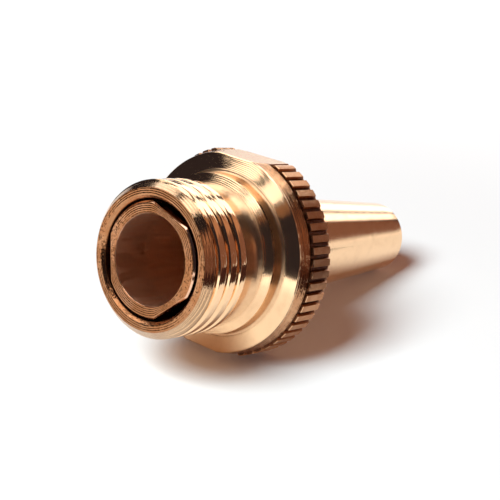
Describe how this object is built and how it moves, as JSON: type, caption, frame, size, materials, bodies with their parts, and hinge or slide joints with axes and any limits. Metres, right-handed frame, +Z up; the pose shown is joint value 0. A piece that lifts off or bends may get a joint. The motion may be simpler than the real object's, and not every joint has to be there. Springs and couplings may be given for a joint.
{
  "type": "laser cutting nozzle",
  "caption": "Turned copper laser cutting nozzle: screw thread, collar, knurled flange with wrench flats, slender nose, and a pressed-in inner core.",
  "frame": {"origin": "centre of the bounding box's base, on the surface that the nozzle lies on", "axes": "+Z up; the nozzle lies along X with its tip towards +X and its thread towards -X, the axis dipping 13.54 degrees towards the tip, as it comes to rest on one wrench flat's front edge and the rim of its tip"},
  "size_m": [0.0272, 0.014, 0.0134],
  "materials": {
    "turned_copper": "bare copper, finely turned, polished lands, matte rolled knurl",
    "core_copper": "bare copper, turned, bore reamed"
  },
  "bodies": {
    "root": {"nozzle_body": "turned_copper", "inner_core": "core_copper"}
  },
  "joints": []
}
